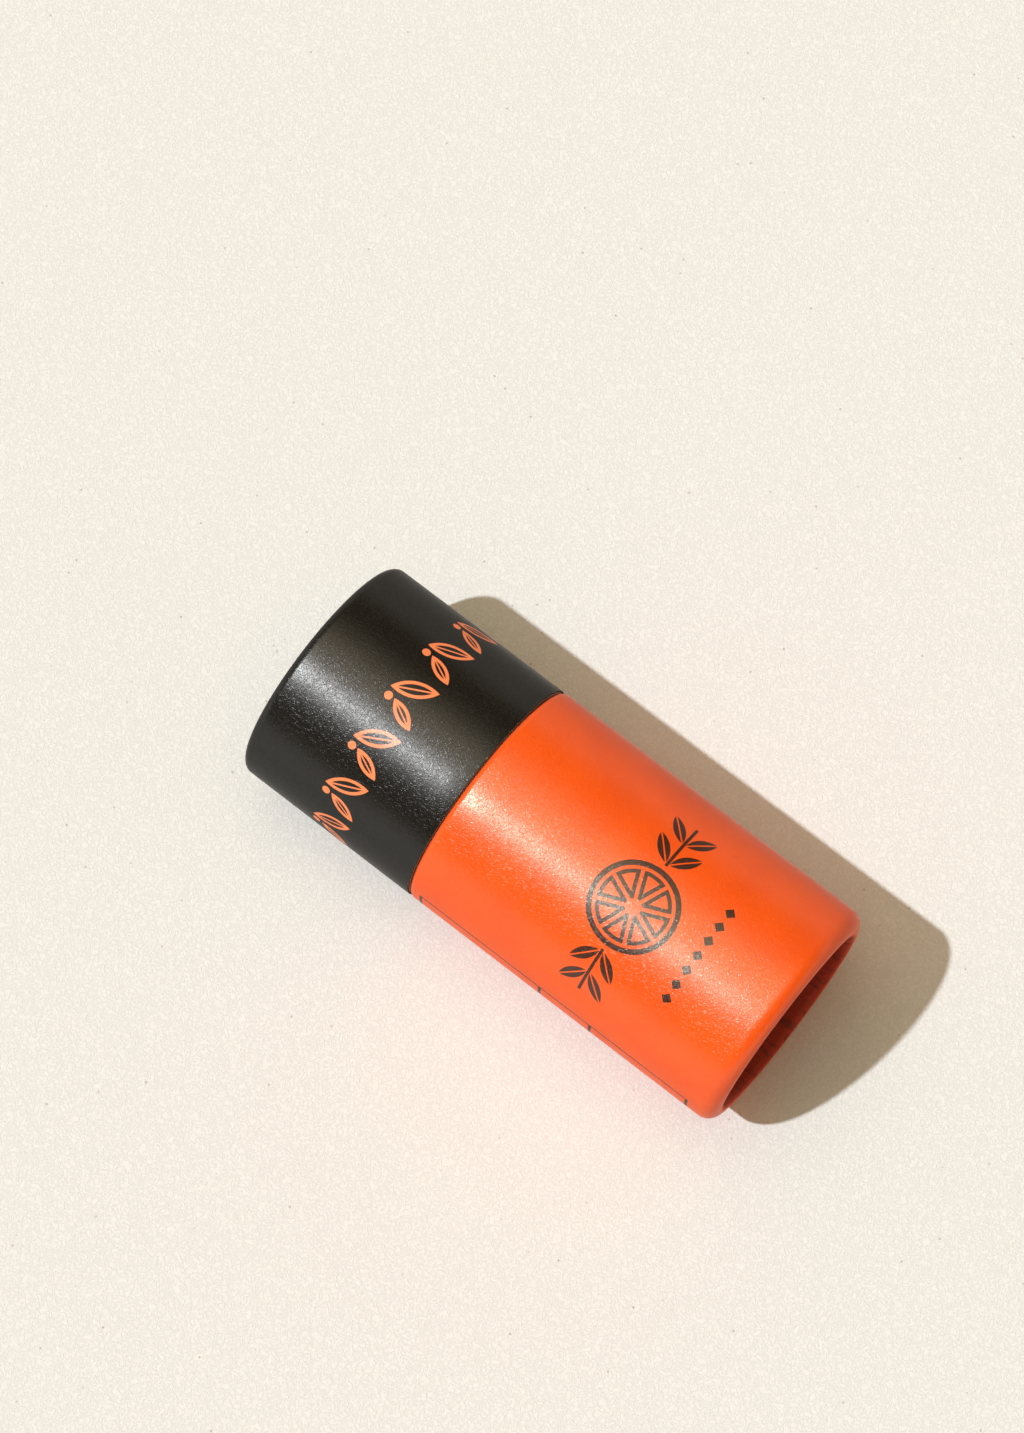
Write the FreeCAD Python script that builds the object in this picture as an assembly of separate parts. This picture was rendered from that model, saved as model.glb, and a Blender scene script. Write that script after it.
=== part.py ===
"""Push-up paperboard balm tube, lying on its side.

Millimetres. The tube's axis runs along X, from the base at low X to the cap at high X.
The origin is under the middle of the tube, on the surface that it lies on.
"""

import FreeCAD, Part
import math
import os

# Outside
TUBE_DIAMETER = 26.0
BODY_LENGTH = 38.75
CAP_LENGTH = 21.75
JOINT_GAP = 0.10

# Papers and boards
COVER_PAPER = 0.18
OUTER_BOARD = 0.70
NECK_BOARD = 0.80
LINER_PAPER = 0.08
SEAL_PAPER = 0.10
GLUE_LINE = 0.02

# Base rim: the outer board curls in round the neck tube's end and lies inside it, under the hem
BASE_LAND = 0.12
BASE_BEAD = 0.84
HEM_LENGTH = 5.0

# Shoulder
SHOULDER_ROUND = 0.65

# Cap
CAP_HEADROOM = 2.3
CAP_CURL_INSIDE = 0.14
CAP_DISC_BOARD = 1.20
CAP_SLIP = 0.06

# Pusher and balm
PUSHER_SLIP = 0.06
PUSHER_STOP_GAP = 0.15
SKIRT_LENGTH = 9.0
SKIRT_BOARD = 0.60
PUSHER_DISC_BOARD = 1.00
BALM_CROWN = 0.20
BALM_EDGE_EASE = 0.60

# Straight steps that draw a quarter round: the base's outside, other rims, and hidden edges
BASE_STEPS = 3
RIM_STEPS = 2
EDGE_STEPS = 1

# Places along the axis
TUBE_RADIUS = TUBE_DIAMETER / 2
TOTAL_LENGTH = BODY_LENGTH + JOINT_GAP + CAP_LENGTH
BASE_X = -TOTAL_LENGTH / 2
SHOULDER_X = BASE_X + BODY_LENGTH
MOUTH_X = SHOULDER_X + JOINT_GAP
CAP_END_X = MOUTH_X + CAP_LENGTH
HEM_TOP_X = BASE_X + HEM_LENGTH
SKIRT_X = HEM_TOP_X + PUSHER_STOP_GAP
SKIRT_TOP_X = SKIRT_X + SKIRT_LENGTH
SEAL_X = SKIRT_TOP_X + GLUE_LINE
BALM_X = SEAL_X + SEAL_PAPER + GLUE_LINE

# Depths below the outside of the tube, layer by layer
BOARD_DEPTH = COVER_PAPER + GLUE_LINE
NECK_DEPTH = BOARD_DEPTH + OUTER_BOARD + GLUE_LINE
CURL_DEPTH = NECK_DEPTH + NECK_BOARD + GLUE_LINE
HEM_DEPTH = CURL_DEPTH + OUTER_BOARD + GLUE_LINE
LINER_BORE_DEPTH = CURL_DEPTH + LINER_PAPER
CAP_BORE_DEPTH = NECK_DEPTH - CAP_SLIP

# Radii
NECK_RADIUS = TUBE_RADIUS - NECK_DEPTH
NECK_BORE_RADIUS = NECK_RADIUS - NECK_BOARD
CURL_RADIUS = TUBE_RADIUS - CURL_DEPTH
HEM_BACK_RADIUS = TUBE_RADIUS - HEM_DEPTH
HEM_RADIUS = HEM_BACK_RADIUS - COVER_PAPER
LINER_BORE_RADIUS = TUBE_RADIUS - LINER_BORE_DEPTH
PUSHER_RADIUS = LINER_BORE_RADIUS - PUSHER_SLIP
SKIRT_BORE_RADIUS = PUSHER_RADIUS - SKIRT_BOARD
CAP_BORE_RADIUS = TUBE_RADIUS - CAP_BORE_DEPTH
CAP_DISC_RADIUS = CAP_BORE_RADIUS - GLUE_LINE

# Rounds, and the fold of the cap's paper over the edge of the curled board
BASE_ROUND = TUBE_RADIUS - HEM_RADIUS - BASE_BEAD - BASE_LAND
CAP_ROUND = CAP_BORE_DEPTH + CAP_CURL_INSIDE
CAP_FOLD = COVER_PAPER + GLUE_LINE
CAP_HEM_RADIUS = TUBE_RADIUS - CAP_ROUND - CAP_FOLD

# Centres of the rounds, as places along the axis and radii
BASE_CENTRE = (BASE_X + BASE_ROUND, TUBE_RADIUS - BASE_ROUND)
BEAD_CENTRE = (BASE_X + BASE_BEAD, HEM_RADIUS + BASE_BEAD)
CAP_CENTRE = (CAP_END_X - CAP_ROUND, TUBE_RADIUS - CAP_ROUND)
SHOULDER_CENTRE = (SHOULDER_X - SHOULDER_ROUND, TUBE_RADIUS - SHOULDER_ROUND)

# Places that the cap's end sets, down to the rim of the neck
CAP_FACE_X = CAP_CENTRE[0] - GLUE_LINE - COVER_PAPER
CAP_DISC_X = CAP_FACE_X - GLUE_LINE - CAP_DISC_BOARD
CAP_LINER_X = CAP_DISC_X - GLUE_LINE - SEAL_PAPER
NECK_TOP_X = CAP_LINER_X - CAP_HEADROOM
BALM_TOP_X = NECK_TOP_X + BALM_CROWN

# Directions in the half section, in degrees: along the axis and out from it
TO_CAP = 0
OUTWARD = 90
TO_BASE = 180
INWARD = 270


def turned(*outline):
    """Solid turned round the axis from the corners of its half section, each (x, radius)."""
    corners = [FreeCAD.Vector(x, 0, radius) for x, radius in outline]
    face = Part.Face(Part.makePolygon(corners + corners[:1]))
    solid = face.revolve(FreeCAD.Vector(0, 0, 0), FreeCAD.Vector(1, 0, 0), 360)
    solid.translate(FreeCAD.Vector(0, 0, TUBE_RADIUS))
    return solid


def bend(centre, radius, start, end, steps):
    """Corners of a round from one direction to another, both ends included."""
    turns = [math.radians(start + (end - start) * i / steps) for i in range(steps + 1)]
    return [
        (centre[0] + radius * math.cos(turn), centre[1] + radius * math.sin(turn))
        for turn in turns
    ]


def sleeve(low_x, high_x, outer_radius, inner_radius):
    """Plain ring between two places on the axis."""
    return turned(
        (low_x, inner_radius),
        (low_x, outer_radius),
        (high_x, outer_radius),
        (high_x, inner_radius),
    )


def disc(low_x, thickness, radius):
    """Round sheet standing across the axis."""
    high_x = low_x + thickness
    return turned((low_x, 0), (low_x, radius), (high_x, radius), (high_x, 0))


def body_wrap():
    """Cover paper over the shoulder, down the body, round the base rim and up inside as a hem."""
    shoulder_edge = NECK_RADIUS + GLUE_LINE
    return turned(
        (SHOULDER_X, shoulder_edge),
        *bend(SHOULDER_CENTRE, SHOULDER_ROUND, TO_CAP, OUTWARD, EDGE_STEPS),
        *bend(BASE_CENTRE, BASE_ROUND, OUTWARD, TO_BASE, BASE_STEPS),
        *bend(BEAD_CENTRE, BASE_BEAD, TO_BASE, INWARD, RIM_STEPS),
        (HEM_TOP_X, HEM_RADIUS),
        (HEM_TOP_X, HEM_BACK_RADIUS),
        (BEAD_CENTRE[0], HEM_BACK_RADIUS),
        *bend(BASE_CENTRE, BASE_ROUND - COVER_PAPER, TO_BASE, OUTWARD, EDGE_STEPS),
        *bend(SHOULDER_CENTRE, SHOULDER_ROUND - COVER_PAPER, OUTWARD, TO_CAP, EDGE_STEPS),
        (SHOULDER_X - COVER_PAPER, shoulder_edge),
    )


def outer_tube():
    """The body's board tube, eased at the shoulder, curled in at the base and up to the hem's top."""
    outside = BASE_ROUND - BOARD_DEPTH
    inside = outside - OUTER_BOARD
    curl_bore = HEM_BACK_RADIUS + GLUE_LINE
    return turned(
        (SHOULDER_X - BOARD_DEPTH, NECK_RADIUS + GLUE_LINE),
        *bend(SHOULDER_CENTRE, SHOULDER_ROUND - BOARD_DEPTH, TO_CAP, OUTWARD, EDGE_STEPS),
        *bend(BASE_CENTRE, outside, OUTWARD, TO_BASE, EDGE_STEPS),
        (BEAD_CENTRE[0], curl_bore),
        (HEM_TOP_X, curl_bore),
        (HEM_TOP_X, CURL_RADIUS),
        (BASE_CENTRE[0] - inside, CURL_RADIUS),
        (BASE_CENTRE[0], NECK_RADIUS + GLUE_LINE),
    )


def neck_tube():
    """Inner board tube, standing in the base curl and out into the cap."""
    return turned(
        (BASE_X + NECK_DEPTH + GLUE_LINE, NECK_BORE_RADIUS),
        (BASE_CENTRE[0], NECK_RADIUS),
        (NECK_TOP_X, NECK_RADIUS),
        (NECK_TOP_X, NECK_BORE_RADIUS),
    )


def balm():
    """Stick of balm, cast on the pusher, with an eased edge at its top."""
    edge_centre = (BALM_TOP_X - BALM_EDGE_EASE, PUSHER_RADIUS - BALM_EDGE_EASE)
    return turned(
        (BALM_X, 0),
        (BALM_X, PUSHER_RADIUS),
        *bend(edge_centre, BALM_EDGE_EASE, OUTWARD, TO_CAP, EDGE_STEPS),
        (BALM_TOP_X, 0),
    )


def cap_wrap():
    """Cover paper of the cap, from its cut mouth over the end and down inside the rim."""
    return turned(
        (MOUTH_X, TUBE_RADIUS - COVER_PAPER),
        (MOUTH_X, TUBE_RADIUS),
        *bend(CAP_CENTRE, CAP_ROUND, OUTWARD, TO_CAP, RIM_STEPS),
        (CAP_END_X - CAP_FOLD, CAP_HEM_RADIUS),
        (CAP_CENTRE[0], CAP_HEM_RADIUS),
        (CAP_CENTRE[0], CAP_HEM_RADIUS + COVER_PAPER),
        *bend(CAP_CENTRE, CAP_ROUND - COVER_PAPER, TO_CAP, OUTWARD, EDGE_STEPS),
    )


def cap_tube():
    """The cap's board tube, curled in over the end disc."""
    return turned(
        (MOUTH_X, CAP_BORE_RADIUS),
        (MOUTH_X, TUBE_RADIUS - BOARD_DEPTH),
        *bend(CAP_CENTRE, CAP_ROUND - BOARD_DEPTH, OUTWARD, TO_CAP, EDGE_STEPS),
        (CAP_CENTRE[0], CAP_BORE_RADIUS),
    )


def build():
    """Every piece of the tube, by name."""
    return {
        "body_wrap": body_wrap(),
        "outer_tube": outer_tube(),
        "neck_tube": neck_tube(),
        "neck_liner": sleeve(HEM_TOP_X + GLUE_LINE, NECK_TOP_X, CURL_RADIUS, LINER_BORE_RADIUS),
        "pusher_skirt": sleeve(SKIRT_X, SKIRT_TOP_X, PUSHER_RADIUS, SKIRT_BORE_RADIUS),
        "pusher_disc": disc(
            SKIRT_TOP_X - PUSHER_DISC_BOARD, PUSHER_DISC_BOARD, SKIRT_BORE_RADIUS - GLUE_LINE
        ),
        "pusher_seal_disc": disc(SEAL_X, SEAL_PAPER, PUSHER_RADIUS),
        "balm": balm(),
        "cap_wrap": cap_wrap(),
        "cap_tube": cap_tube(),
        "cap_end_disc": disc(CAP_DISC_X, CAP_DISC_BOARD, CAP_DISC_RADIUS),
        "cap_face_paper": disc(CAP_FACE_X, COVER_PAPER, CAP_DISC_RADIUS),
        "cap_end_liner": disc(CAP_LINER_X, SEAL_PAPER, CAP_DISC_RADIUS),
    }


os.makedirs("parts", exist_ok=True)
for name, shape in build().items():
    shape.exportStep(f"parts/{name}.step")
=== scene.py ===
"""Finish of a push-up paperboard balm tube that lies on its side.

Lengths are in metres in the meshes and in millimetres in the materials.
"""

import math
import random

import bpy
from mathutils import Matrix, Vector


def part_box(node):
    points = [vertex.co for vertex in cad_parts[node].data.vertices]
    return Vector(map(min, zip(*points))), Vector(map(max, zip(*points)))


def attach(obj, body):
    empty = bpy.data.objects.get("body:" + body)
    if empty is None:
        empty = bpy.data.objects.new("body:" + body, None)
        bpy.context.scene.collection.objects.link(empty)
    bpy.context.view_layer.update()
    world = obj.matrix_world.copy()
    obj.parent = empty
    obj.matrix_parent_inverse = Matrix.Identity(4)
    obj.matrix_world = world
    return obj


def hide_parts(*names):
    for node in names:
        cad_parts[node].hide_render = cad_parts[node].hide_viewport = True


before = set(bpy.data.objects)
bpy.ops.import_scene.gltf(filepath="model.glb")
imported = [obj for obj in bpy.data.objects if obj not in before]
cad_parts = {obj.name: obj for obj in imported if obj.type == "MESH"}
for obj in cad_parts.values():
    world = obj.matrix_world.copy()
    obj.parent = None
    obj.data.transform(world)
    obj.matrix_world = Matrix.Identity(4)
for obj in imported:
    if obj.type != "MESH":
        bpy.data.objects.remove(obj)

bl_info = {
    "name": "Paper balm tube",
    "version": (1, 0, 0),
    "blender": (4, 5, 0),
    "location": "3D View > Sidebar > Balm tube",
    "description": "Builds the papers, balm and stage of a push-up balm tube",
    "category": "Add Mesh",
}

MM = 0.001
TURN = 2 * math.pi

# Places of the solids along the tube
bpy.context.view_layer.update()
WRAP_LOW, WRAP_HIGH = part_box("body_wrap")
CAP_LOW, CAP_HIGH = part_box("cap_wrap")
BALM_LOW, BALM_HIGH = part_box("balm")
LINER_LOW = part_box("neck_liner")[0]

TUBE_RADIUS = (WRAP_HIGH[2] - WRAP_LOW[2]) / 2
BALM_RADIUS = (BALM_HIGH[2] - BALM_LOW[2]) / 2
BASE_X = WRAP_LOW[0]
SHOULDER_X = WRAP_HIGH[0]
MOUTH_X = CAP_LOW[0]
CAP_END_X = CAP_HIGH[0]
GLUE_LINE = 0.02 * MM
HEM_TOP_X = LINER_LOW[0] - GLUE_LINE

# Angles round the tube are counted from its top
SEAM_ANGLE = math.radians(-138)
SEAM_FADE = 0.5

# Softness of a printed edge, in millimetres
SOFT_EDGE = 0.03

# Camera and light
VIEW_TARGET = Vector((13.71, -10.81, 0.0)) * MM
VIEW_DISTANCE = 501.0 * MM
VIEW_ELEVATION = math.radians(74.6)
VIEW_AZIMUTH = math.radians(128.07)
LENS_MM = 119.1
SUN_TOWARD = Vector((0.38, 0.456, 1.0))
SUN_LEVEL = 2.8
SUN_WIDTH = math.radians(1.3)
SKY_TOWARD = Vector((0.12, 0.02, 1.0))
SKY_FOCUS = 11.0
SKY_LEVEL = 2.6
FLOOR_SIZE = 12.0


def srgb(red, green, blue):
    """Linear colour from the 0 to 255 values that a picture shows."""
    return tuple(
        c / 12.92 if c <= 0.04045 else ((c + 0.055) / 1.055) ** 2.4
        for c in (red / 255, green / 255, blue / 255)
    )


def toned(paint, share):
    """A colour times a number, or times one number for each of its parts."""
    shares = share if isinstance(share, tuple) else (share,) * 3
    return tuple(part * s for part, s in zip(paint, shares))


def length(name, description, value):
    """Size property in metres."""
    return bpy.props.FloatProperty(
        name=name, description=description, default=value, unit="LENGTH", subtype="DISTANCE"
    )


def colour(name, description, value):
    """Colour property."""
    return bpy.props.FloatVectorProperty(
        name=name, description=description, default=value, size=3, subtype="COLOR", min=0, max=1
    )


class BalmTubeSizes(bpy.types.PropertyGroup):
    """Sizes of the papers and the print."""

    paper: length("Cover paper", "Thickness of the cover paper", 0.18 * MM)
    base_round: length("Base round", "Radius of the rolled rim at the base", 1.68 * MM)
    shoulder_round: length("Shoulder round", "Radius of the body's shoulder", 0.65 * MM)
    cap_round: length("Cap round", "Radius of the cap's closed end", 1.0 * MM)
    fold: length("Fold", "Radius of the paper where it turns in at a rim", 0.2 * MM)
    hem_radius: length("Hem radius", "Inside radius of the turned-in hem", 10.36 * MM)
    bead: length("Bead", "Radius of the rim's inner edge", 0.84 * MM)
    neck_radius: length("Neck radius", "Outside radius of the neck tube", 12.1 * MM)
    crimp: length("Crimp", "Height of the pleats in the hem", 0.16 * MM)
    seam: length("Seam", "Step where the cover paper laps over itself", 0.06 * MM)
    band_place: length("Cap band", "Middle of the leaf band, from the cap's mouth", 10.1 * MM)
    wheel_place: length("Wheel", "Middle of the fruit wheel, from the shoulder", 20.6 * MM)


class BalmTubeColours(bpy.types.PropertyGroup):
    """Colours of the papers, the boards, the balm and the stage."""

    orange: colour("Orange paper", "Cover paper of the body", srgb(250, 88, 2))
    black: colour("Black paper", "Cover paper of the cap", srgb(11, 10, 8))
    ink: colour("Black ink", "Print on the body", srgb(25, 13, 12))
    band: colour("Band ink", "Print on the cap", srgb(252, 140, 88))
    board: colour("Board", "Core of the wound board", srgb(178, 168, 152))
    neck: colour("Neck paper", "Outside of the neck tube", srgb(232, 225, 210))
    liner: colour("Greaseproof", "Greaseproof paper", srgb(232, 226, 208))
    balm: colour("Balm", "The stick of balm", srgb(250, 238, 168))
    floor: colour("Floor", "The surface that the tube lies on", srgb(226, 227, 226))
    backdrop: colour("Backdrop", "What shows beyond the floor", srgb(150, 146, 138))
    fill: colour("Fill light", "Soft light from above", (1.0, 0.84, 0.60))
    dusk: colour("Low fill", "Light from low down all round", (0.058, 0.039, 0.018))
    sun: colour("Sun", "Light from one side", (0.95, 0.975, 1.0))


class Channel:
    """Number, vector or colour that varies over a surface. An expression on it adds nodes."""

    def __init__(self, shader, socket):
        self.shader = shader
        self.socket = socket

    def __add__(self, other):
        return self.shader.math("ADD", self, other)

    def __radd__(self, other):
        return self.shader.math("ADD", other, self)

    def __sub__(self, other):
        return self.shader.math("SUBTRACT", self, other)

    def __rsub__(self, other):
        return self.shader.math("SUBTRACT", other, self)

    def __mul__(self, other):
        return self.shader.math("MULTIPLY", self, other)

    def __rmul__(self, other):
        return self.shader.math("MULTIPLY", other, self)

    def __truediv__(self, other):
        return self.shader.math("DIVIDE", self, other)

    def __rtruediv__(self, other):
        return self.shader.math("DIVIDE", other, self)

    def __abs__(self):
        return self.shader.math("ABSOLUTE", self)


class Nodes:
    """Node tree under construction."""

    def __init__(self, tree):
        self.tree = tree
        tree.nodes.clear()

    def node(self, kind, settings=None, sockets=None):
        """Node of a type, with its settings made first and then its sockets fed."""
        made = self.tree.nodes.new(kind)
        for name, value in (settings or {}).items():
            setattr(made, name, value)
        for key, value in (sockets or {}).items():
            if isinstance(value, Channel):
                value = value.socket
            if isinstance(value, bpy.types.NodeSocket):
                self.tree.links.new(value, made.inputs[key])
            else:
                made.inputs[key].default_value = value
        return made

    def math(self, operation, *values):
        """Math node on values or numbers."""
        made = self.node("ShaderNodeMath", {"operation": operation}, dict(enumerate(values)))
        return Channel(self, made.outputs[0])

    def rise(self, value, low, high):
        """0 at low, 1 at high and smooth between, whichever of the two is larger."""
        made = self.node(
            "ShaderNodeMapRange",
            {"interpolation_type": "SMOOTHSTEP"},
            {"Value": value, "From Min": low, "From Max": high},
        )
        return Channel(self, made.outputs["Result"])

    def inside(self, distance):
        """1 where a distance in millimetres is positive, with a narrow soft edge."""
        return self.rise(distance, -SOFT_EDGE, SOFT_EDGE)

    def least(self, first, *others):
        """Smallest of several values."""
        for other in others:
            first = self.math("MINIMUM", first, other)
        return first

    def most(self, first, *others):
        """Largest of several values."""
        for other in others:
            first = self.math("MAXIMUM", first, other)
        return first

    def centred(self, value, pitch):
        """Distance to the nearest multiple of a pitch."""
        return value - self.math("ROUND", value / pitch) * pitch

    def mix(self, factor, low, high):
        """Colour between two colours."""
        colours = {6: self.solid(low), 7: self.solid(high)}
        made = self.node("ShaderNodeMix", {"data_type": "RGBA"}, {0: factor, **colours})
        return Channel(self, made.outputs[2])

    def solid(self, value):
        """Colour with its fourth number, or the channel as it is."""
        return value if isinstance(value, Channel) else (*value[:3], 1)


class Shader(Nodes):
    """Material under construction, with the tube's own coordinates in millimetres."""

    def __init__(self, name):
        self.material = bpy.data.materials.new(name)
        self.material.use_nodes = True
        super().__init__(self.material.node_tree)
        from_axis = self.node(
            "ShaderNodeVectorMath",
            {"operation": "SUBTRACT"},
            {0: self.node("ShaderNodeTexCoord").outputs["Object"], 1: (0, 0, TUBE_RADIUS)},
        )
        in_millimetres = self.node(
            "ShaderNodeVectorMath",
            {"operation": "SCALE"},
            {0: from_axis.outputs[0], "Scale": 1 / MM},
        )
        self.place = Channel(self, in_millimetres.outputs[0])
        parts = self.node("ShaderNodeSeparateXYZ", None, {0: self.place})
        self.along = Channel(self, parts.outputs[0])
        self.side = Channel(self, parts.outputs[1])
        self.up = Channel(self, parts.outputs[2])
        self.angle = self.math("ARCTAN2", self.side, self.up)
        self.radius = self.math("SQRT", self.side * self.side + self.up * self.up)

    def noise(self, scale, detail, place=None, distortion=0.0):
        """Cloudy noise, with its scale in cycles per millimetre."""
        made = self.node(
            "ShaderNodeTexNoise",
            None,
            {
                "Vector": place or self.place,
                "Scale": scale,
                "Detail": detail,
                "Distortion": distortion,
            },
        )
        return Channel(self, made.outputs["Fac"])

    def stretched(self, x, y, z):
        """The place with its axes scaled."""
        made = self.node(
            "ShaderNodeVectorMath", {"operation": "MULTIPLY"}, {0: self.place, 1: (x, y, z)}
        )
        return Channel(self, made.outputs[0])

    def fibres(self, scale, width, share):
        """Thin curly threads: the level lines of a noise, broken up by another."""
        line = self.rise(abs(self.noise(scale, 1.0, distortion=0.6) - 0.5), width, 0.0)
        return line * self.rise(self.noise(scale * 0.45, 0.0), 1 - share, 1 - share + 0.08)

    def dots(self, scale, size):
        """Scattered round dots, with their size as a share of the cell."""
        made = self.node(
            "ShaderNodeTexVoronoi", None, {"Vector": self.place, "Scale": scale, "Randomness": 1.0}
        )
        return self.rise(Channel(self, made.outputs["Distance"]), size, size * 0.5)

    def bump(self, height, distance):
        """Normal from a height times a distance in metres."""
        made = self.node(
            "ShaderNodeBump", None, {"Height": height, "Distance": distance, "Strength": 1.0}
        )
        return Channel(self, made.outputs[0])

    def finish(self, base, roughness, normal, constants=None):
        """Principled surface from what varies and from named constants, and its output."""
        varying = {"Base Color": base, "Roughness": roughness, "Normal": normal}
        surface = self.node("ShaderNodeBsdfPrincipled", None, {**varying, **(constants or {})})
        self.node("ShaderNodeOutputMaterial", None, {"Surface": surface.outputs[0]})
        return self.material


# Prints, with their lengths in millimetres


def leaf(shader, across, along, centre, angle, half_length, half_width):
    """Distance inside a lens-shaped leaf, negative outside, and the distance from its midrib."""
    circle = (half_length ** 2 + half_width ** 2) / (2 * half_width)
    drop = circle - half_width
    cos, sin = math.cos(angle), math.sin(angle)
    u = across - centre[0]
    v = along - centre[1]
    from_middle = u * cos + v * sin
    from_rib = abs(v * cos - u * sin)
    reach = from_rib + drop
    return circle - shader.math("SQRT", from_middle * from_middle + reach * reach), from_rib


def outlined(shader, distance, width):
    """1 on a line of a width just inside an edge."""
    return shader.inside(width / 2 - abs(distance - width / 2))


def fruit_wheel(shader, across, down):
    """Rind and eight outlined segments of a fruit cut across."""
    rind_radius, rind_width = 4.5, 0.58
    segment_start, segment_end = 0.85, 3.85
    half_gap, outline = 0.19, 0.42
    eighth = TURN / 8
    ring = shader.math("SQRT", across * across + down * down)
    rind = shader.inside(rind_width / 2 - abs(ring - rind_radius))
    turn = abs(shader.centred(shader.math("ARCTAN2", down, across), eighth))
    from_side = ring * shader.math("SINE", eighth / 2 - turn) - half_gap
    segment = shader.least(segment_end - ring, from_side, ring - segment_start)
    return shader.most(rind, outlined(shader, segment, outline))


def leaf_sprays(shader, across, down):
    """Pairs of leaves on a stem at both sides of the wheel."""
    start, overlap, pitch = 5.4, 0.1, 2.9
    half_stem, half_vein = 0.17, 0.08
    out = abs(across) - start
    within = shader.inside(out + overlap) * shader.inside(2 * pitch - out)
    step = shader.math("MODULO", shader.most(out, 0.0), pitch)
    blade, rib = leaf(
        shader, step, abs(down),
        centre=(1.5, 1.4), angle=math.radians(42), half_length=1.8, half_width=0.66,
    )
    leaves = shader.inside(blade) * shader.inside(rib - half_vein)
    stem = shader.inside(half_stem - abs(down))
    return shader.most(leaves, stem) * within


def lozenge_row(shader, across, down):
    """Row of seven lozenges."""
    half_lozenge, pitch, half_row = 0.62, 1.8, 6.2
    lozenge = half_lozenge - abs(shader.centred(across, pitch)) - abs(down)
    return shader.inside(lozenge) * shader.inside(half_row - abs(across))


def ruled_panel(shader, across, down):
    """Panel of thin lines at the side, parted by two cross lines."""
    half_line, half_cross = 0.12, 0.17
    depth, top, bottom = 17.0, 1.6, 35.55
    cross_lines = (top, 16.86, 23.27, bottom)
    in_length = shader.least(down - top + half_cross, bottom + half_cross - down)
    in_depth = shader.least(across + half_line, depth + half_line - across)
    lines = half_line - shader.least(abs(across), abs(across - depth))
    for place in cross_lines:
        lines = shader.most(lines, half_cross - abs(down - place))
    return shader.inside(lines) * shader.inside(in_length) * shader.inside(in_depth)


def body_print(shader, sizes):
    """Black print of the body: a fruit wheel between leaves, a row of lozenges and a ruled panel."""
    radius = TUBE_RADIUS / MM
    front, panel_edge = math.radians(12.2), math.radians(83.6)
    lozenges_down = 28.6
    across = (shader.angle - front) * radius
    down = SHOULDER_X / MM - shader.along
    from_wheel = down - sizes.wheel_place / MM
    return shader.most(
        fruit_wheel(shader, across, from_wheel),
        leaf_sprays(shader, across, from_wheel),
        lozenge_row(shader, across, down - lozenges_down),
        ruled_panel(shader, across - (panel_edge - front) * radius, down),
    )


def cap_print(shader, sizes):
    """Orange band of leaves and berries round the cap."""
    radius = TUBE_RADIUS / MM
    sprigs, outline, berry_radius = 13, 0.36, 0.45
    half_big_vein, half_small_vein = 0.09, 0.08
    across = shader.centred(shader.angle * radius, TURN * radius / sprigs)
    rise = shader.along - (MOUTH_X + sizes.band_place) / MM
    big, big_rib = leaf(
        shader, across, rise,
        centre=(-1.4, 0.0), angle=math.radians(62), half_length=2.5, half_width=0.92,
    )
    small, small_rib = leaf(
        shader, across, rise,
        centre=(1.45, -0.55), angle=math.radians(118), half_length=1.85, half_width=0.72,
    )
    aside, above = across - 0.7, rise - 1.75
    berry = berry_radius - shader.math("SQRT", aside * aside + above * above)
    return shader.most(
        outlined(shader, big, outline),
        outlined(shader, small, outline),
        shader.inside(berry),
        shader.inside(shader.least(half_big_vein - big_rib, big)),
        shader.inside(shader.least(half_small_vein - small_rib, small)),
    )


# Papers, boards, balm and floor


def paper_relief(shader):
    """Relief of a coated paper: tooth, fine grain and single threads."""
    tooth = shader.noise(4.0, 1.0)
    grain = shader.noise(9.0, 1.0)
    threads = shader.fibres(scale=2.8, width=0.06, share=0.9)
    return tooth * 0.9 + grain * 0.7 + threads * 1.1


def paper_gloss(shader):
    """Roughness of the film on the papers: patchy, duller at a low angle and less so at the edge."""
    usual = 0.31
    patches = (shader.noise(3.0, 2.0) - 0.5) * 0.13
    grazing = Channel(shader, shader.node("ShaderNodeLayerWeight").outputs["Facing"])
    dulled = shader.rise(grazing, 0.12, 0.50) * 0.42
    regained = shader.rise(grazing, 0.62, 0.95) * 0.2
    return usual + patches + dulled - regained


def lap_line(shader):
    """1 along the cut edge of the paper where it laps over itself, on the outside only."""
    half_width = 0.07
    across = (shader.angle - SEAM_ANGLE) * (TUBE_RADIUS / MM)
    outside = shader.rise(shader.radius, 12.6, 12.7)
    return shader.inside(half_width - abs(across)) * outside


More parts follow.
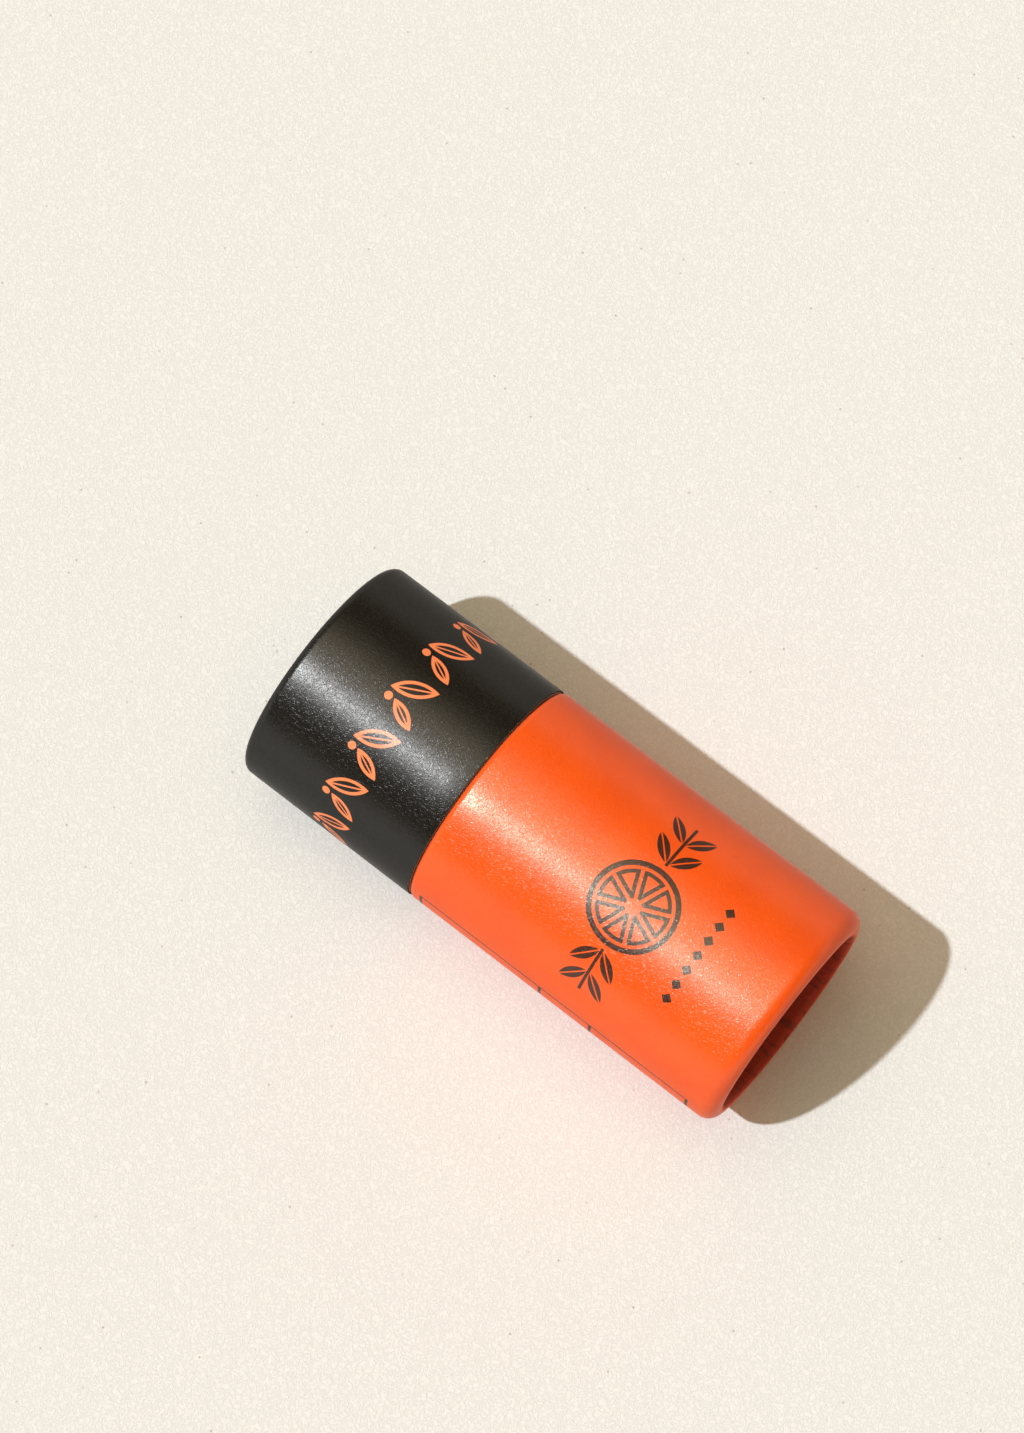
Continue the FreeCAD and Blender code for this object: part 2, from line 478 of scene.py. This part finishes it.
def orange_paper(sizes, colours):
    """Satin orange cover paper with the black print, with painted shade inside the turned-in hem and
    painted shade along its creases.
    """
    shader = Shader("orange_paper")
    cloud = shader.rise(shader.noise(0.16, 3.0), 0.30, 0.75)
    base = shader.mix(cloud, colours.orange, toned(colours.orange, (0.93, 0.86, 0.9)))
    specks = shader.rise(shader.noise(1.9, 0.0), 0.80, 0.82)
    base = shader.mix(specks * 0.12, base, srgb(160, 44, 10))
    threads = shader.fibres(scale=1.7, width=0.012, share=0.35)
    base = shader.mix(threads * 0.10, base, srgb(255, 190, 150))
    # Painted shade: the turned-in hem inside the base recess is painted a deep red. The same mask
    # also makes the hem rougher.
    hem = shader.rise(shader.radius, 11.4, 10.5)
    base = shader.mix(hem * 0.85, base, srgb(158, 18, 0))
    # Painted shade: dark red lines along the creases of the hem.
    crease_shade = shader.rise(shader.noise(1.5, 2.0, shader.stretched(0.12, 1.0, 1.0)), 0.5, 0.66)
    base = shader.mix(crease_shade * hem * 0.55, base, srgb(84, 6, 0))
    base = shader.mix(lap_line(shader) * 0.6, base, srgb(255, 150, 110))
    base = shader.mix(body_print(shader, sizes) * 0.96, base, colours.ink)
    roughness = paper_gloss(shader) + hem * 0.5
    normal = shader.bump(paper_relief(shader), 0.0078 * MM)
    film = {"Specular IOR Level": 0.9, "Specular Tint": (1.0, 1.0, 0.86, 1.0)}
    return shader.finish(base, roughness, normal, film)


def black_paper(sizes, colours, printed):
    """Satin black paper of the cap, with the leaf band, the seam and the cut mouth if printed."""
    shader = Shader("black_paper" if printed else "black_face_paper")
    cloud = shader.rise(shader.noise(0.2, 3.0), 0.3, 0.75)
    base = shader.mix(cloud, colours.black, toned(colours.black, 0.7))
    threads = shader.fibres(scale=2.0, width=0.012, share=0.4)
    base = shader.mix(threads * 0.04, base, srgb(150, 150, 150))
    if printed:
        base = shader.mix(lap_line(shader) * 0.3, base, srgb(110, 100, 90))
        base = shader.mix(cap_print(shader, sizes), base, colours.band)
        mouth = shader.rise(shader.along, MOUTH_X / MM + 0.16, MOUTH_X / MM)
        torn = shader.rise(shader.noise(2.2, 3.0), 0.63, 0.71) * mouth
        base = shader.mix(torn * 0.9, base, srgb(172, 140, 108))
    normal = shader.bump(paper_relief(shader), 0.0058 * MM)
    return shader.finish(base, paper_gloss(shader), normal, {"Specular IOR Level": 0.60})


def wound_board(name, paint, spiral_pitch, ply):
    """Wound board: flecked pulp, ply lines on its cut ends and a butt line winding round it."""
    shader = Shader(name)
    base = shader.mix(shader.noise(0.5, 4.0), paint, toned(paint, 0.90))
    flecks = shader.rise(shader.noise(4.0, 3.0), 0.60, 0.72)
    base = shader.mix(flecks * 0.22, base, toned(paint, 0.6))
    winding = shader.along + shader.angle * (spiral_pitch / TURN)
    butt = shader.inside(0.05 - abs(shader.centred(winding, spiral_pitch)))
    base = shader.mix(butt * 0.45, base, toned(paint, 0.4))
    ply_line = shader.inside(0.03 - abs(shader.centred(shader.radius, ply)))
    base = shader.mix(ply_line * 0.35, base, toned(paint, 0.5))
    relief = shader.noise(6.0, 4.0) * 0.6 + flecks * 0.2 - butt * 0.6
    return shader.finish(base, 0.86, shader.bump(relief, 0.03 * MM))


def greaseproof_paper(colours):
    """Greaseproof paper with a slight sheen and balm smeared into it."""
    shader = Shader("greaseproof")
    smear = shader.rise(shader.noise(0.35, 4.0, distortion=1.5), 0.45, 0.7)
    base = shader.mix(smear * 0.5, colours.liner, colours.balm)
    relief = shader.noise(3.0, 3.0) * 0.6 + smear * 0.4
    return shader.finish(base, 0.5 - smear * 0.2, shader.bump(relief, 0.03 * MM))


def balm_wax(colours):
    """Pale wax balm: cloudy, with fine grains, pits painted a deeper yellow as painted shade, marks
    from sliding and a soft inner glow.
    """
    shader = Shader("balm")
    cloud = shader.noise(0.22, 4.0, distortion=0.8)
    base = shader.mix(cloud, colours.balm, toned(colours.balm, (0.95, 0.88, 0.58)))
    bloom = shader.rise(shader.noise(0.6, 3.0, distortion=1.2), 0.52, 0.68)
    base = shader.mix(bloom * 0.45, base, srgb(255, 250, 222))
    grain = shader.rise(shader.noise(4.0, 2.0), 0.58, 0.72)
    base = shader.mix(grain * 0.25, base, srgb(255, 251, 218))
    # The pits are dents in the relief, and painted a deeper yellow as painted shade.
    pits = shader.dots(scale=0.55, size=0.16)
    base = shader.mix(pits * 0.35, base, srgb(214, 184, 96))
    drag = shader.noise(1.0, 3.0, shader.stretched(0.08, 2.6, 2.6))
    roughness = 0.34 + (drag - 0.5) * 0.25 + bloom * 0.12
    relief = shader.noise(1.2, 3.0) * 4 + grain * 1.5 + drag * 4 - pits * 6
    glow = {
        "Subsurface Weight": 0.35,
        "Subsurface Radius": (1.0, 0.75, 0.3),
        "Subsurface Scale": 1.5 * MM,
    }
    return shader.finish(base, roughness, shader.bump(relief, 0.01 * MM), glow)


def floor_plaster(colours):
    """Pale surface with a fine grain, short curls and rare specks."""
    shader = Shader("floor_plaster")
    grain = shader.noise(4.2, 2.0)
    tooth = shader.noise(1.5, 3.0)
    curls = shader.fibres(scale=2.1, width=0.12, share=0.97)
    dirty = shader.rise(shader.noise(0.5, 1.0), 0.48, 0.56)
    specks = shader.dots(scale=0.42, size=0.075) * dirty
    base = shader.mix(
        shader.rise(grain, 0.25, 0.75), toned(colours.floor, 0.96), toned(colours.floor, 1.04)
    )
    base = shader.mix(curls * 0.9, base, toned(colours.floor, 0.92))
    base = shader.mix(specks * 0.45, base, srgb(140, 110, 84))
    relief = tooth * 2.0 + grain * 2.0 - curls * 2.0
    return shader.finish(base, 0.9, shader.bump(relief, 0.01 * MM))


# Meshes


def arc(centre, radius, start, end, count):
    """Places (x, radius) along a round, with both ends, from angles in degrees."""
    turns = [math.radians(start + (end - start) * i / count) for i in range(count + 1)]
    return [(centre[0] + radius * math.cos(t), centre[1] + radius * math.sin(t)) for t in turns]


def run(start, end, count):
    """Places between two others, without the two."""
    return [
        tuple(a + (b - a) * i / count for a, b in zip(start, end)) for i in range(1, count)
    ]


def placed(name, data):
    """New object of the scene."""
    made = bpy.data.objects.new(name, data)
    bpy.context.scene.collection.objects.link(made)
    return made


def made_mesh(name, vertices, faces):
    """Smooth object from vertices and faces."""
    mesh = bpy.data.meshes.new(name)
    mesh.from_pydata(vertices, [], faces)
    mesh.validate()
    mesh.shade_smooth()
    return placed(name, mesh)


def lathe(name, outline, sections, shape, ends=False):
    """Mesh turned round the tube's axis, from an outline that closes on itself or has flat ends."""
    vertices = []
    for x, radius in outline:
        for i in range(sections):
            angle = TURN * i / sections
            place, reach = shape(x, radius, angle)
            vertices.append(
                (place, reach * math.sin(angle), TUBE_RADIUS + reach * math.cos(angle))
            )
    rings = len(outline)
    faces = []
    for ring in range(rings - 1 if ends else rings):
        low = ring * sections
        high = (ring + 1) % rings * sections
        for i in range(sections):
            j = (i + 1) % sections
            faces.append((low + i, high + i, high + j, low + j))
    if ends:
        faces.append(tuple(range(sections)))
        faces.append(tuple(reversed(range(len(vertices) - sections, len(vertices)))))
    return made_mesh(name, vertices, faces)


def dress(piece, material):
    """Gives a piece its one material."""
    piece.data.materials.clear()
    piece.data.materials.append(material)


def waves(seed, count, low, high):
    """Seeded sum of sines round the tube, between -1 and 1."""
    dice = random.Random(seed)
    terms = [(dice.randint(low, high), dice.uniform(0, TURN)) for _ in range(count)]
    return lambda angle: sum(math.sin(n * angle + phase) for n, phase in terms) / count


def between(angle, middle):
    """Angle from a middle, the short way round."""
    return (angle - middle + math.pi) % TURN - math.pi


def lapped(radius, angle, step):
    """Radius of a wrap that laps over itself at the seam and sinks back past it."""
    past = (angle - SEAM_ANGLE) % TURN
    return radius - step * max(0.0, 1 - past / SEAM_FADE)


def pleats(seed, count):
    """Seeded pleats round the tube, from 0 between them to 1 on a crest."""
    dice = random.Random(seed)
    edges = sorted((i + dice.uniform(-0.3, 0.3)) / count * TURN for i in range(count))
    heights = [dice.uniform(0.35, 1.0) for _ in range(count)]

    def height(angle):
        for i, edge in enumerate(edges):
            gap = abs(between(angle, edge))
            if gap < math.pi / count:
                return heights[i] * (1 - gap * count / math.pi) ** 1.5
        return 0.0

    return height


# Pieces of the tube


def build_body_wrap(sizes, colours):
    """Orange cover paper: shoulder, body, rolled base rim and pleated hem."""
    paper, base, shoulder = sizes.paper, sizes.base_round, sizes.shoulder_round
    base_centre = (BASE_X + base, TUBE_RADIUS - base)
    shoulder_centre = (SHOULDER_X - shoulder, TUBE_RADIUS - shoulder)
    hem, bead = sizes.hem_radius, sizes.bead
    bead_centre = (BASE_X + bead, hem + bead)
    outside = (
        [(SHOULDER_X, sizes.neck_radius)]
        + arc(shoulder_centre, shoulder, 0, 90, 10)
        + run((shoulder_centre[0], TUBE_RADIUS), (base_centre[0], TUBE_RADIUS), 12)
        + arc(base_centre, base, 90, 180, 20)
    )
    inside = (
        arc(bead_centre, bead, 180, 270, 14)
        + run((bead_centre[0], hem), (HEM_TOP_X, hem), 14)
        + [(HEM_TOP_X, hem), (HEM_TOP_X, hem + paper)]
    )
    back = (
        arc(bead_centre, bead - paper, 270, 180, 6)
        + arc(base_centre, base - paper, 180, 90, 10)
        + arc(shoulder_centre, shoulder - paper, 90, 0, 5)
        + [(SHOULDER_X - paper, sizes.neck_radius)]
    )
    ridge = pleats(seed=5, count=78)
    skew = waves(seed=8, count=5, low=3, high=17)
    full_depth = 1.5 * MM

    def shape(x, radius, angle):
        depth = x - BASE_X
        from_centre = math.hypot(min(x - bead_centre[0], 0.0), radius - bead_centre[1])
        if radius > base_centre[1] + 0.5 * base:
            radius = lapped(radius, angle, sizes.seam)
        elif radius < bead_centre[1] and from_centre > bead - paper / 2:
            grown = min(depth / full_depth, 1.0)
            lean = 0.02 + 0.03 * skew(angle)
            turn = angle + lean * depth / MM
            radius += sizes.crimp * (0.5 - ridge(turn)) * grown
        return x, radius

    piece = lathe("body_wrap_paper", outside + inside + back, sections=672, shape=shape)
    dress(piece, orange_paper(sizes, colours))
    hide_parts("body_wrap")
    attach(piece, "tube")


def build_cap_wrap(sizes, colours):
    """Black cover paper of the cap, with its cut mouth and its turned-in end."""
    paper, end, fold = sizes.paper, sizes.cap_round, sizes.fold
    centre = (CAP_END_X - end, TUBE_RADIUS - end)
    hem_radius = centre[1] - fold
    fold_centre = (CAP_END_X - fold, centre[1])
    eased = 0.04 * MM
    outline = (
        [(MOUTH_X, TUBE_RADIUS - paper)]
        + arc((MOUTH_X + eased, TUBE_RADIUS - eased), eased, 180, 90, 4)
        + run((MOUTH_X + eased, TUBE_RADIUS), (centre[0], TUBE_RADIUS), 10)
        + arc(centre, end, 90, 0, 16)
        + arc(fold_centre, fold, 0, -90, 5)[1:]
        + [(centre[0], hem_radius), (centre[0], hem_radius + paper)]
        + arc(centre, end - paper, 0, 90, 8)
    )
    dice = random.Random(12)
    nick_count = 46
    nicks = [
        (dice.uniform(0, TURN), dice.uniform(0.004, 0.014), dice.uniform(0.02, 0.07))
        for _ in range(nick_count)
    ]

    def shape(x, radius, angle):
        if x < MOUTH_X + 2 * eased:
            cuts = (
                deep * max(0.0, 1 - abs(between(angle, middle)) / wide)
                for middle, wide, deep in nicks
            )
            x += max(cuts) * MM
        if radius > TUBE_RADIUS - 0.5 * paper and x < centre[0]:
            radius = lapped(radius, angle, sizes.seam)
        return x, radius

    piece = lathe("cap_wrap_paper", outline, sections=960, shape=shape)
    dress(piece, black_paper(sizes, colours, printed=True))
    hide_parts("cap_wrap")
    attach(piece, "cap")


def build_balm(colours):
    """Stick of balm with a slightly dished, poured top."""
    rings = 26
    edge, dip, ripple = 0.6 * MM, 0.35 * MM, 0.03 * MM
    out_of_round = 0.004
    swell = waves(seed=21, count=6, low=2, high=9)
    uneven = waves(seed=31, count=5, low=2, high=6)
    crown = BALM_HIGH[0]
    profile = [(BALM_LOW[0], BALM_RADIUS * i / 4) for i in range(1, 5)]
    profile += run(profile[-1], (crown - edge, BALM_RADIUS), 12)
    profile += arc((crown - edge, BALM_RADIUS - edge), edge, 90, 0, 8)
    profile += [(crown, (BALM_RADIUS - edge) * (1 - i / rings)) for i in range(1, rings)]

    def shape(x, radius, angle):
        inward = 1 - radius / BALM_RADIUS
        dish = 0.0
        if x > crown - edge:
            dish = dip * (1 - math.cos(math.pi * min(inward * 1.4, 1.0))) / 2
            dish += ripple * swell(angle + 5 * inward) * math.sin(math.pi * inward)
        reach = radius * (1 - out_of_round * (0.5 + 0.5 * uneven(angle + 40 * x)))
        return x - max(dish, 0.0), reach

    piece = lathe("balm_stick", profile, sections=128, shape=shape, ends=True)
    dress(piece, balm_wax(colours))
    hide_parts("balm")
    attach(piece, "pusher")


def dress_boards(colours):
    """Boards and discs keep their solids and get their finish."""
    board = wound_board("wound_board", colours.board, spiral_pitch=21.0, ply=0.35)
    neck = wound_board("neck_board", colours.neck, spiral_pitch=26.0, ply=0.4)
    for node in ("outer_tube", "pusher_skirt", "pusher_disc", "cap_tube", "cap_end_disc"):
        dress(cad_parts[node], board)
    dress(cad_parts["neck_tube"], neck)


def dress_linings(sizes, colours):
    """Greaseproof lining and discs, and the black facing of the cap's end."""
    liner = greaseproof_paper(colours)
    for node in ("neck_liner", "pusher_seal_disc", "cap_end_liner"):
        dress(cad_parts[node], liner)
    dress(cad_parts["cap_face_paper"], black_paper(sizes, colours, printed=False))


# Stage


def lay_floor(colours):
    """The surface that the tube lies on."""
    half = FLOOR_SIZE / 2
    corners = [(-half, -half, 0), (half, -half, 0), (half, half, 0), (-half, half, 0)]
    floor = made_mesh("floor", corners, [(0, 1, 2, 3)])
    dress(floor, floor_plaster(colours))


def hang_sun(colours):
    """Hard light from one side."""
    sun = bpy.data.lights.new("sun", "SUN")
    sun.energy = SUN_LEVEL
    sun.angle = SUN_WIDTH
    sun.color = colours.sun
    lamp = placed("sun", sun)
    lamp.rotation_euler = SUN_TOWARD.to_track_quat("Z", "Y").to_euler()


def make_sky(colours):
    """Soft light, brightest overhead, with the backdrop below the horizon."""
    world = bpy.data.worlds.new("sky")
    world.use_nodes = True
    sky = Nodes(world.node_tree)
    direction = sky.node("ShaderNodeTexCoord").outputs["Generated"]
    height = Channel(sky, sky.node("ShaderNodeSeparateXYZ", None, {0: direction}).outputs[2])
    toward = sky.node(
        "ShaderNodeVectorMath",
        {"operation": "DOT_PRODUCT"},
        {0: direction, 1: SKY_TOWARD.normalized()},
    )
    spread = sky.math("POWER", sky.most(Channel(sky, toward.outputs["Value"]), 0.0), SKY_FOCUS)
    glow = sky.mix(spread, colours.dusk, colours.fill)
    glow = sky.mix(sky.rise(height, 0.06, 0.02), glow, colours.backdrop)
    background = sky.node("ShaderNodeBackground", None, {"Color": glow, "Strength": SKY_LEVEL})
    sky.node("ShaderNodeOutputWorld", None, {"Surface": background.outputs[0]})
    bpy.context.scene.world = world


def place_camera():
    """Camera that looks down on the tube."""
    back = Vector(
        (
            math.cos(VIEW_ELEVATION) * math.cos(VIEW_AZIMUTH),
            math.cos(VIEW_ELEVATION) * math.sin(VIEW_AZIMUTH),
            math.sin(VIEW_ELEVATION),
        )
    )
    lens = bpy.data.cameras.new("camera")
    lens.lens = LENS_MM
    lens.clip_start = 0.01
    camera = placed("camera", lens)
    camera.location = VIEW_TARGET + back * VIEW_DISTANCE
    camera.rotation_euler = back.to_track_quat("Z", "Y").to_euler()
    bpy.context.scene.camera = camera


def build_stage(colours):
    """Floor, sun, sky and camera."""
    lay_floor(colours)
    hang_sun(colours)
    make_sky(colours)
    place_camera()
    bpy.context.scene.view_settings.view_transform = "Standard"


# Steps, in the order that they run in


class BodyWrapStep(bpy.types.Operator):
    """Build the orange cover paper of the body."""

    bl_idname = "balm_tube.body_wrap"
    bl_label = "Body wrap"
    bl_options = {"REGISTER", "UNDO"}

    def execute(self, context):
        build_body_wrap(context.scene.balm_tube_sizes, context.scene.balm_tube_colours)
        return {"FINISHED"}


class CapWrapStep(bpy.types.Operator):
    """Build the black cover paper of the cap."""

    bl_idname = "balm_tube.cap_wrap"
    bl_label = "Cap wrap"
    bl_options = {"REGISTER", "UNDO"}

    def execute(self, context):
        build_cap_wrap(context.scene.balm_tube_sizes, context.scene.balm_tube_colours)
        return {"FINISHED"}


class BalmStep(bpy.types.Operator):
    """Build the stick of balm."""

    bl_idname = "balm_tube.balm"
    bl_label = "Balm"
    bl_options = {"REGISTER", "UNDO"}

    def execute(self, context):
        build_balm(context.scene.balm_tube_colours)
        return {"FINISHED"}


class BoardsStep(bpy.types.Operator):
    """Finish the board tubes and discs."""

    bl_idname = "balm_tube.boards"
    bl_label = "Boards"
    bl_options = {"REGISTER", "UNDO"}

    def execute(self, context):
        dress_boards(context.scene.balm_tube_colours)
        return {"FINISHED"}


class LiningsStep(bpy.types.Operator):
    """Finish the lining papers and the cap's facing."""

    bl_idname = "balm_tube.linings"
    bl_label = "Linings"
    bl_options = {"REGISTER", "UNDO"}

    def execute(self, context):
        dress_linings(context.scene.balm_tube_sizes, context.scene.balm_tube_colours)
        return {"FINISHED"}


class StageStep(bpy.types.Operator):
    """Set the floor, the light and the camera."""

    bl_idname = "balm_tube.stage"
    bl_label = "Stage"
    bl_options = {"REGISTER", "UNDO"}

    def execute(self, context):
        build_stage(context.scene.balm_tube_colours)
        return {"FINISHED"}


STEPS = (BodyWrapStep, CapWrapStep, BalmStep, BoardsStep, LiningsStep, StageStep)


class BalmTubePanel(bpy.types.Panel):
    """Steps, sizes and colours of the balm tube."""

    bl_idname = "VIEW3D_PT_balm_tube"
    bl_label = "Balm tube"
    bl_space_type = "VIEW_3D"
    bl_region_type = "UI"
    bl_category = "Balm tube"

    def draw(self, context):
        for step in STEPS:
            self.layout.operator(step.bl_idname)
        for group in (context.scene.balm_tube_sizes, context.scene.balm_tube_colours):
            for name in group.__annotations__:
                self.layout.prop(group, name)


CLASSES = (BalmTubeSizes, BalmTubeColours, *STEPS, BalmTubePanel)


def register():
    """Adds the classes and the two groups of settings."""
    for made in CLASSES:
        bpy.utils.register_class(made)
    bpy.types.Scene.balm_tube_sizes = bpy.props.PointerProperty(type=BalmTubeSizes)
    bpy.types.Scene.balm_tube_colours = bpy.props.PointerProperty(type=BalmTubeColours)


def unregister():
    """Takes them away again."""
    del bpy.types.Scene.balm_tube_colours
    del bpy.types.Scene.balm_tube_sizes
    for made in reversed(CLASSES):
        bpy.utils.unregister_class(made)


def main():
    """Runs every step."""
    register()
    for step in STEPS:
        group, name = step.bl_idname.split(".")
        getattr(getattr(bpy.ops, group), name)()


if __name__ == "__main__":
    main()
